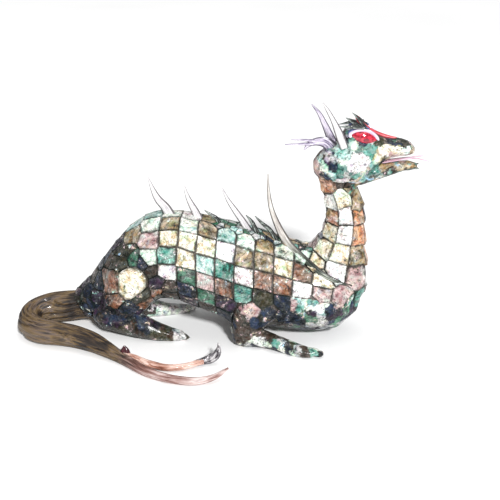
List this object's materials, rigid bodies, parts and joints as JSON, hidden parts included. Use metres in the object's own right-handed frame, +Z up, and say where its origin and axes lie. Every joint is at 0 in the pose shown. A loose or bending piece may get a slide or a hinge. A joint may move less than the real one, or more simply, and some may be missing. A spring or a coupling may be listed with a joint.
{
  "type": "dragon statue",
  "caption": "Lying dragon clad in shell tiles, head raised, with horn slivers along its back, horns, red eyes and a forked wooden tail bent back beside it.",
  "frame": {"origin": "on the floor under the middle of the figure's box", "axes": "+X the way the dragon looks, +Z up, the tail is bent round on the -Y side"},
  "size_m": [0.4052, 0.1818, 0.243],
  "materials": {
    "shell": "polished mother-of-pearl tiles, green, blue, white and rose, in dark grout",
    "dark_shell": "polished dark shell",
    "wood": "weathered, grooved along the grain",
    "thorn": "polished dark red horn",
    "barb": "dark silver paint, worn",
    "horn": "polished pale horn with a streak of violet",
    "coral": "polished red",
    "eye_glass": "opaque red glass",
    "rim": "lilac mother-of-pearl",
    "tongue": "satin pink"
  },
  "bodies": {
    "root": {"shell_body": "shell", "wood_tail": "wood", "tail_thorn": "thorn", "tail_barb": "barb", "back_spine_1": "horn", "back_spine_2": "horn", "back_spine_3": "horn", "back_shard_1": "dark_shell", "back_shard_2": "dark_shell", "back_shard_3": "dark_shell", "collar_quill": "horn", "horn_right": "horn", "horn_left": "horn", "nape_crest": "horn", "brow_shard_right_1": "dark_shell", "brow_shard_right_2": "dark_shell", "brow_shard_right_3": "dark_shell", "brow_shard_left_1": "dark_shell", "brow_shard_left_2": "dark_shell", "brow_shard_left_3": "dark_shell", "forehead_strip": "coral", "eye_right": "eye_glass", "eye_left": "eye_glass", "eye_rim_right": "rim", "eye_rim_left": "rim", "tongue": "tongue", "chin_barb": "dark_shell"}
  },
  "joints": []
}
